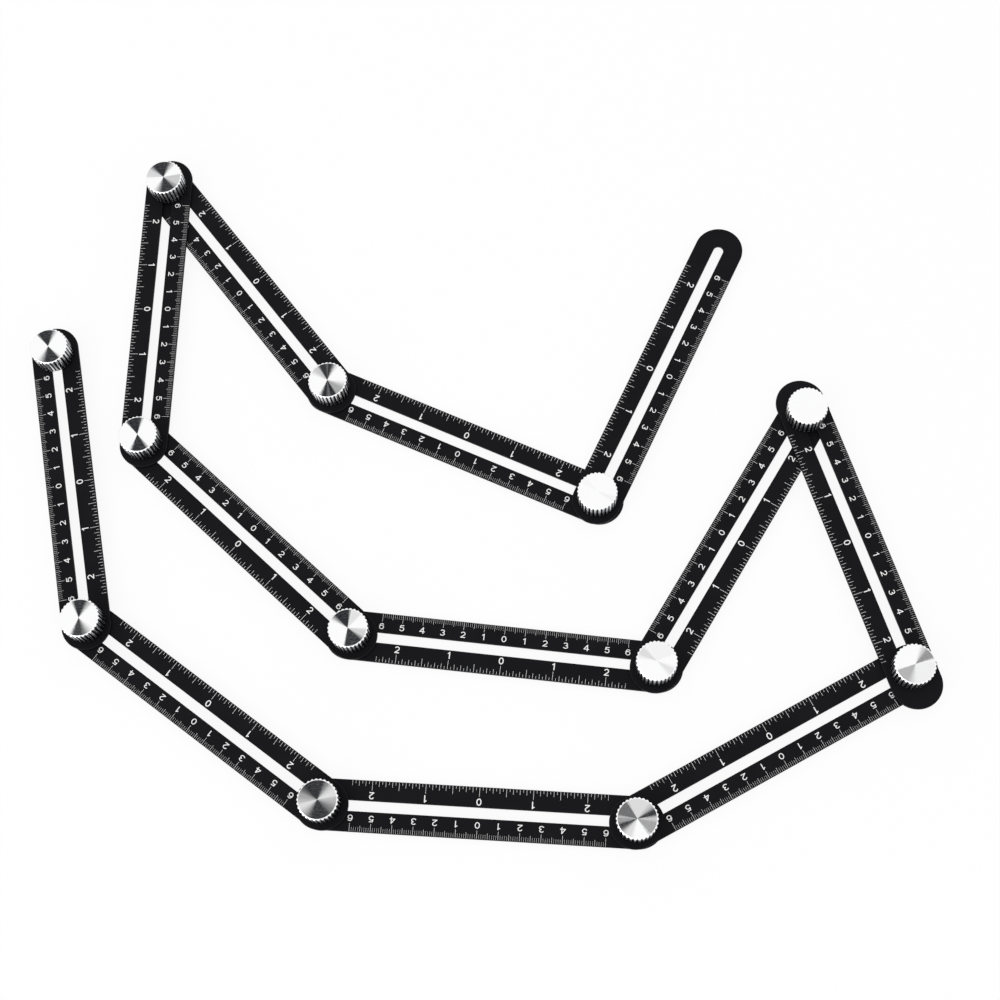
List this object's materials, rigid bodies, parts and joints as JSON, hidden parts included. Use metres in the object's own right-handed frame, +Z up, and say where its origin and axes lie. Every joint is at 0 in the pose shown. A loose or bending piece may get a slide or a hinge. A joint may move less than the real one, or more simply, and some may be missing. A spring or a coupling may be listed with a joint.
{
  "type": "folding ruler",
  "caption": "Folding ruler of flat slotted arms joined end to end by clamping knob pivots, with centimetre and inch scales, set by hand to copy an outline or angle.",
  "frame": {"origin": "on the table under the middle of the spread ruler's bounding box", "axes": "+Z up from the table; +X along the middle arm, towards the arms of the outer end"},
  "size_m": [0.4706, 0.3419, 0.0185],
  "materials": {
    "black_arm": "matte black anodised, printed white scales",
    "bolt_steel": "zinc plated",
    "washer_black": "black nylon",
    "knob_aluminium": "bright turned top, straight knurl"
  },
  "bodies": {
    "arm_1": {"ruler_arm_1": "black_arm"},
    "arm_2": {"ruler_arm_2": "black_arm"},
    "arm_3": {"ruler_arm_3": "black_arm"},
    "arm_4": {"ruler_arm_4": "black_arm"},
    "arm_5": {"ruler_arm_5": "black_arm"},
    "arm_6": {"ruler_arm_6": "black_arm"},
    "arm_7": {"ruler_arm_7": "black_arm"},
    "arm_8": {"ruler_arm_8": "black_arm"},
    "arm_9": {"ruler_arm_9": "black_arm"},
    "arm_10": {"ruler_arm_10": "black_arm"},
    "arm_11": {"ruler_arm_11": "black_arm"},
    "arm_12": {"ruler_arm_12": "black_arm"},
    "bolt_1": {"pivot_bolt_1": "bolt_steel"},
    "spacer_1": {"spacer_washer_1": "washer_black"},
    "knob_washer_1": {"knob_washer_1": "washer_black"},
    "knob_1": {"clamp_knob_1": "knob_aluminium"},
    "bolt_2": {"pivot_bolt_2": "bolt_steel"},
    "spacer_2": {"spacer_washer_2": "washer_black"},
    "knob_washer_2": {"knob_washer_2": "washer_black"},
    "knob_2": {"clamp_knob_2": "knob_aluminium"},
    "bolt_3": {"pivot_bolt_3": "bolt_steel"},
    "spacer_3": {"spacer_washer_3": "washer_black"},
    "knob_washer_3": {"knob_washer_3": "washer_black"},
    "knob_3": {"clamp_knob_3": "knob_aluminium"},
    "bolt_4": {"pivot_bolt_4": "bolt_steel"},
    "spacer_4": {"spacer_washer_4": "washer_black"},
    "knob_washer_4": {"knob_washer_4": "washer_black"},
    "knob_4": {"clamp_knob_4": "knob_aluminium"},
    "bolt_5": {"pivot_bolt_5": "bolt_steel"},
    "spacer_5": {"spacer_washer_5": "washer_black"},
    "knob_washer_5": {"knob_washer_5": "washer_black"},
    "knob_5": {"clamp_knob_5": "knob_aluminium"},
    "bolt_6": {"pivot_bolt_6": "bolt_steel"},
    "spacer_6": {"spacer_washer_6": "washer_black"},
    "knob_washer_6": {"knob_washer_6": "washer_black"},
    "knob_6": {"clamp_knob_6": "knob_aluminium"},
    "bolt_7": {"pivot_bolt_7": "bolt_steel"},
    "spacer_7": {"spacer_washer_7": "washer_black"},
    "knob_washer_7": {"knob_washer_7": "washer_black"},
    "knob_7": {"clamp_knob_7": "knob_aluminium"},
    "bolt_8": {"pivot_bolt_8": "bolt_steel"},
    "spacer_8": {"spacer_washer_8": "washer_black"},
    "knob_washer_8": {"knob_washer_8": "washer_black"},
    "knob_8": {"clamp_knob_8": "knob_aluminium"},
    "bolt_9": {"pivot_bolt_9": "bolt_steel"},
    "spacer_9": {"spacer_washer_9": "washer_black"},
    "knob_washer_9": {"knob_washer_9": "washer_black"},
    "knob_9": {"clamp_knob_9": "knob_aluminium"},
    "bolt_10": {"pivot_bolt_10": "bolt_steel"},
    "spacer_10": {"spacer_washer_10": "washer_black"},
    "knob_washer_10": {"knob_washer_10": "washer_black"},
    "knob_10": {"clamp_knob_10": "knob_aluminium"},
    "bolt_11": {"pivot_bolt_11": "bolt_steel"},
    "spacer_11": {"spacer_washer_11": "washer_black"},
    "knob_washer_11": {"knob_washer_11": "washer_black"},
    "knob_11": {"clamp_knob_11": "knob_aluminium"},
    "bolt_12": {"pivot_bolt_12": "bolt_steel", "spacer_washer_12": "washer_black"},
    "knob_washer_12": {"knob_washer_12": "washer_black"},
    "knob_12": {"clamp_knob_12": "knob_aluminium"}
  },
  "joints": [
    {"name": "pivot_6_slides_in_arm_6", "type": "slide", "parent": "arm_6", "child": "bolt_6", "axis": [1, 0, 0], "range_m": [-0.045, 0]},
    {"name": "fold_6", "type": "hinge", "parent": "bolt_6", "child": "spacer_6", "pos_m": [0.10117, -0.07593, 0.0034], "axis": [0, 0, -1], "range_deg": [-19, 5]},
    {"name": "arm_7_slides_on_pivot_6", "type": "slide", "parent": "spacer_6", "child": "arm_7", "axis": [-0.4147, -0.91, 0], "range_m": [0, 0.117]},
    {"name": "pivot_7_slides_in_arm_7", "type": "slide", "parent": "arm_7", "child": "bolt_7", "axis": [-0.4147, -0.91, 0], "range_m": [0, 0.117]},
    {"name": "fold_7", "type": "hinge", "parent": "bolt_7", "child": "spacer_7", "pos_m": [0.16254, 0.05874, 0.0052], "axis": [0, 0, 1], "range_deg": [-15, 178]},
    {"name": "arm_8_slides_on_pivot_7", "type": "slide", "parent": "spacer_7", "child": "arm_8", "axis": [0.4226, -0.9063, 0], "range_m": [-0.034, 0.0055]},
    {"name": "pivot_8_slides_in_arm_8", "type": "slide", "parent": "arm_8", "child": "spacer_8", "axis": [-0.4226, 0.9063, 0], "range_m": [-0.0062, 0.034]},
    {"name": "fold_8", "type": "hinge", "parent": "spacer_8", "child": "bolt_8", "pos_m": [0.22014, -0.06479, 0.0052], "axis": [0, 0, -1], "range_deg": [-178, 4]},
    {"name": "arm_9_slides_on_pivot_8", "type": "slide", "parent": "bolt_8", "child": "arm_9", "axis": [-0.8171, -0.5764, 0], "range_m": [-0.014, 0]},
    {"name": "pivot_9_slides_in_arm_9", "type": "slide", "parent": "arm_9", "child": "spacer_9", "axis": [0.8171, 0.5764, 0], "range_m": [0, 0.014]},
    {"name": "fold_9", "type": "hinge", "parent": "spacer_9", "child": "bolt_9", "pos_m": [0.09921, -0.1501, 0.0034], "axis": [0, 0, 1], "range_deg": [-3, 178]},
    {"name": "arm_10_slides_on_pivot_9", "type": "slide", "parent": "bolt_9", "child": "arm_10", "axis": [-0.9984, -0.0558, 0], "range_m": [-0.014, 0]},
    {"name": "pivot_10_slides_in_arm_10", "type": "slide", "parent": "arm_10", "child": "bolt_10", "axis": [0.9984, 0.0558, 0], "range_m": [0, 0.014]},
    {"name": "fold_10", "type": "hinge", "parent": "bolt_10", "child": "spacer_10", "pos_m": [-0.04856, -0.15836, 0.0034], "axis": [0, 0, -1], "range_deg": [-178, 4]},
    {"name": "arm_11_slides_on_pivot_10", "type": "slide", "parent": "spacer_10", "child": "arm_11", "axis": [0.8704, -0.4924, 0], "range_m": [0, 0.02]},
    {"name": "pivot_11_slides_in_arm_11", "type": "slide", "parent": "arm_11", "child": "bolt_11", "axis": [-0.8704, 0.4924, 0], "range_m": [-0.02, 0]},
    {"name": "fold_11", "type": "hinge", "parent": "bolt_11", "child": "spacer_11", "pos_m": [-0.17736, -0.08548, 0.0052], "axis": [0, 0, -1], "range_deg": [-178, 8]},
    {"name": "arm_12_slides_on_pivot_11", "type": "slide", "parent": "spacer_11", "child": "arm_12", "axis": [-0.3074, 0.9516, 0], "range_m": [-0.125, 0]},
    {"name": "pivot_5_slides_in_arm_6", "type": "slide", "parent": "arm_6", "child": "bolt_5", "axis": [-1, 0, 0], "range_m": [-0.045, 0]},
    {"name": "fold_5", "type": "hinge", "parent": "bolt_5", "child": "spacer_5", "pos_m": [-0.04683, -0.07593, 0.0034], "axis": [0, 0, -1], "range_deg": [-7, 13]},
    {"name": "arm_5_slides_on_pivot_5", "type": "slide", "parent": "spacer_5", "child": "arm_5", "axis": [-0.8111, 0.585, 0], "range_m": [-0.042, 0]},
    {"name": "pivot_4_slides_in_arm_5", "type": "slide", "parent": "arm_5", "child": "bolt_4", "axis": [-0.8111, 0.585, 0], "range_m": [-0.042, 0]},
    {"name": "fold_4", "type": "hinge", "parent": "bolt_4", "child": "spacer_4", "pos_m": [-0.16686, 0.01064, 0.0052], "axis": [0, 0, 1], "range_deg": [-13, 24]},
    {"name": "arm_4_slides_on_pivot_4", "type": "slide", "parent": "spacer_4", "child": "arm_4", "axis": [-0.0958, 0.9954, 0], "range_m": [-0.055, 0]},
    {"name": "pivot_3_slides_in_arm_4", "type": "slide", "parent": "arm_4", "child": "spacer_3", "axis": [-0.0958, 0.9954, 0], "range_m": [-0.055, 0.0033]},
    {"name": "fold_3", "type": "hinge", "parent": "spacer_3", "child": "bolt_3", "pos_m": [-0.18073, 0.15467, 0.0052], "axis": [0, 0, -1], "range_deg": [-178, 14]},
    {"name": "arm_3_slides_on_pivot_3", "type": "slide", "parent": "bolt_3", "child": "arm_3", "axis": [-0.7046, 0.7096, 0], "range_m": [0, 0.111]},
    {"name": "pivot_2_slides_in_arm_3", "type": "slide", "parent": "arm_3", "child": "spacer_2", "axis": [-0.7046, 0.7096, 0], "range_m": [0, 0.111]},
    {"name": "fold_2", "type": "hinge", "parent": "spacer_2", "child": "bolt_2", "pos_m": [-0.07645, 0.04965, 0.0034], "axis": [0, 0, 1], "range_deg": [-24, 119]},
    {"name": "arm_2_slides_on_pivot_2", "type": "slide", "parent": "bolt_2", "child": "arm_2", "axis": [-0.9532, 0.3024, 0], "range_m": [0, 0.121]},
    {"name": "pivot_1_slides_in_arm_2", "type": "slide", "parent": "arm_2", "child": "bolt_1", "axis": [-0.9532, 0.3024, 0], "range_m": [0, 0.121]},
    {"name": "fold_1", "type": "hinge", "parent": "bolt_1", "child": "spacer_1", "pos_m": [0.06462, 0.00491, 0.0034], "axis": [0, 0, 1], "range_deg": [-29, 76]},
    {"name": "arm_1_slides_on_pivot_1", "type": "slide", "parent": "spacer_1", "child": "arm_1", "axis": [0.3223, 0.9466, 0], "range_m": [-0.14799, 0]},
    {"name": "pivot_12_slides_in_arm_12", "type": "slide", "parent": "arm_12", "child": "bolt_12", "axis": [-0.3074, 0.9516, 0], "range_m": [-0.125, 0.0022]},
    {"name": "knob_1_lift", "type": "slide", "parent": "bolt_1", "child": "knob_washer_1", "axis": [0, 0, 1], "range_m": [0, 0.0016]},
    {"name": "knob_1_turn", "type": "hinge", "parent": "knob_washer_1", "child": "knob_1", "pos_m": [0.06462, 0.00491, 0.0057], "axis": [0, 0, 1], "range_deg": [0, 720]},
    {"name": "knob_2_lift", "type": "slide", "parent": "bolt_2", "child": "knob_washer_2", "axis": [0, 0, 1], "range_m": [0, 0.0016]},
    {"name": "knob_2_turn", "type": "hinge", "parent": "knob_washer_2", "child": "knob_2", "pos_m": [-0.07645, 0.04965, 0.0057], "axis": [0, 0, 1], "range_deg": [0, 720]},
    {"name": "knob_3_lift", "type": "slide", "parent": "bolt_3", "child": "knob_washer_3", "axis": [0, 0, 1], "range_m": [0, 0.0016]},
    {"name": "knob_3_turn", "type": "hinge", "parent": "knob_washer_3", "child": "knob_3", "pos_m": [-0.18073, 0.15467, 0.0075], "axis": [0, 0, 1], "range_deg": [0, 720]},
    {"name": "knob_4_lift", "type": "slide", "parent": "bolt_4", "child": "knob_washer_4", "axis": [0, 0, 1], "range_m": [0, 0.0016]},
    {"name": "knob_4_turn", "type": "hinge", "parent": "knob_washer_4", "child": "knob_4", "pos_m": [-0.16686, 0.01064, 0.0075], "axis": [0, 0, 1], "range_deg": [0, 720]},
    {"name": "knob_5_lift", "type": "slide", "parent": "bolt_5", "child": "knob_washer_5", "axis": [0, 0, 1], "range_m": [0, 0.0016]},
    {"name": "knob_5_turn", "type": "hinge", "parent": "knob_washer_5", "child": "knob_5", "pos_m": [-0.04683, -0.07593, 0.0057], "axis": [0, 0, 1], "range_deg": [0, 720]},
    {"name": "knob_6_lift", "type": "slide", "parent": "bolt_6", "child": "knob_washer_6", "axis": [0, 0, 1], "range_m": [0, 0.0016]},
    {"name": "knob_6_turn", "type": "hinge", "parent": "knob_washer_6", "child": "knob_6", "pos_m": [0.10117, -0.07593, 0.0057], "axis": [0, 0, 1], "range_deg": [0, 720]},
    {"name": "knob_7_lift", "type": "slide", "parent": "bolt_7", "child": "knob_washer_7", "axis": [0, 0, 1], "range_m": [0, 0.0016]},
    {"name": "knob_7_turn", "type": "hinge", "parent": "knob_washer_7", "child": "knob_7", "pos_m": [0.16254, 0.05874, 0.0075], "axis": [0, 0, 1], "range_deg": [0, 720]},
    {"name": "knob_8_lift", "type": "slide", "parent": "bolt_8", "child": "knob_washer_8", "axis": [0, 0, 1], "range_m": [0, 0.0016]},
    {"name": "knob_8_turn", "type": "hinge", "parent": "knob_washer_8", "child": "knob_8", "pos_m": [0.22014, -0.06479, 0.0075], "axis": [0, 0, 1], "range_deg": [0, 720]},
    {"name": "knob_9_lift", "type": "slide", "parent": "bolt_9", "child": "knob_washer_9", "axis": [0, 0, 1], "range_m": [0, 0.0016]},
    {"name": "knob_9_turn", "type": "hinge", "parent": "knob_washer_9", "child": "knob_9", "pos_m": [0.09921, -0.1501, 0.0057], "axis": [0, 0, 1], "range_deg": [0, 720]},
    {"name": "knob_10_lift", "type": "slide", "parent": "bolt_10", "child": "knob_washer_10", "axis": [0, 0, 1], "range_m": [0, 0.0016]},
    {"name": "knob_10_turn", "type": "hinge", "parent": "knob_washer_10", "child": "knob_10", "pos_m": [-0.04856, -0.15836, 0.0057], "axis": [0, 0, 1], "range_deg": [0, 720]},
    {"name": "knob_11_lift", "type": "slide", "parent": "bolt_11", "child": "knob_washer_11", "axis": [0, 0, 1], "range_m": [0, 0.0016]},
    {"name": "knob_11_turn", "type": "hinge", "parent": "knob_washer_11", "child": "knob_11", "pos_m": [-0.17736, -0.08548, 0.0075], "axis": [0, 0, 1], "range_deg": [0, 720]},
    {"name": "knob_12_lift", "type": "slide", "parent": "bolt_12", "child": "knob_washer_12", "axis": [0, 0, 1], "range_m": [0, 0.0016]},
    {"name": "knob_12_turn", "type": "hinge", "parent": "knob_washer_12", "child": "knob_12", "pos_m": [-0.22218, 0.05326, 0.0075], "axis": [0, 0, 1], "range_deg": [0, 720]}
  ],
  "couplings": [
    {"joint": "knob_1_lift", "follows": "knob_1_turn", "m_per_rad": 0.00012732},
    {"joint": "knob_2_lift", "follows": "knob_2_turn", "m_per_rad": 0.00012732},
    {"joint": "knob_3_lift", "follows": "knob_3_turn", "m_per_rad": 0.00012732},
    {"joint": "knob_4_lift", "follows": "knob_4_turn", "m_per_rad": 0.00012732},
    {"joint": "knob_5_lift", "follows": "knob_5_turn", "m_per_rad": 0.00012732},
    {"joint": "knob_6_lift", "follows": "knob_6_turn", "m_per_rad": 0.00012732},
    {"joint": "knob_7_lift", "follows": "knob_7_turn", "m_per_rad": 0.00012732},
    {"joint": "knob_8_lift", "follows": "knob_8_turn", "m_per_rad": 0.00012732},
    {"joint": "knob_9_lift", "follows": "knob_9_turn", "m_per_rad": 0.00012732},
    {"joint": "knob_10_lift", "follows": "knob_10_turn", "m_per_rad": 0.00012732},
    {"joint": "knob_11_lift", "follows": "knob_11_turn", "m_per_rad": 0.00012732},
    {"joint": "knob_12_lift", "follows": "knob_12_turn", "m_per_rad": 0.00012732}
  ]
}
